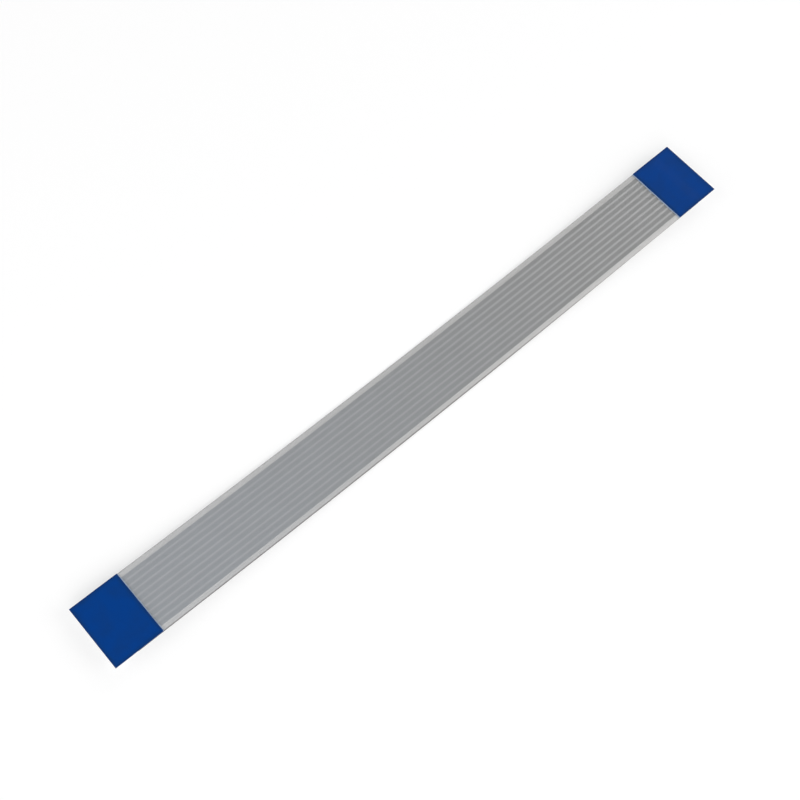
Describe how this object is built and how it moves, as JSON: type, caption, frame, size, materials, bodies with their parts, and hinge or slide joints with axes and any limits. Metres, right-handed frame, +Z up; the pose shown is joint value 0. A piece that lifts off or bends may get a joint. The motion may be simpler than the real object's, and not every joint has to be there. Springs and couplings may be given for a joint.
{
  "type": "flat flex cable",
  "caption": "Flat flex cable: flat conductors laminated between two clear films, with blue support tapes and bare contacts at both ends.",
  "frame": {"origin": "on the surface that the cable lies on, under its middle, where its slight bow touches down", "axes": "+X along the cable towards the right end, +Y across it, +Z up, on the side of the support tapes"},
  "size_m": [0.127, 0.0114, 0.0023],
  "materials": {
    "film": "clear polyester film with milky hot-melt on its inner side",
    "tinned_copper": "tin-plated rolled copper, satin",
    "blue_tape": "blue polyester, semi-matte",
    "tape_adhesive": "pale translucent adhesive"
  },
  "bodies": {
    "root": {"upper_film": "film", "lower_film": "film", "conductor_01": "tinned_copper", "conductor_02": "tinned_copper", "conductor_03": "tinned_copper", "conductor_04": "tinned_copper", "conductor_05": "tinned_copper", "conductor_06": "tinned_copper", "conductor_07": "tinned_copper", "conductor_08": "tinned_copper", "conductor_09": "tinned_copper", "conductor_10": "tinned_copper", "left_tape_adhesive": "tape_adhesive", "left_support_tape": "blue_tape", "right_tape_adhesive": "tape_adhesive", "right_support_tape": "blue_tape"}
  },
  "joints": []
}
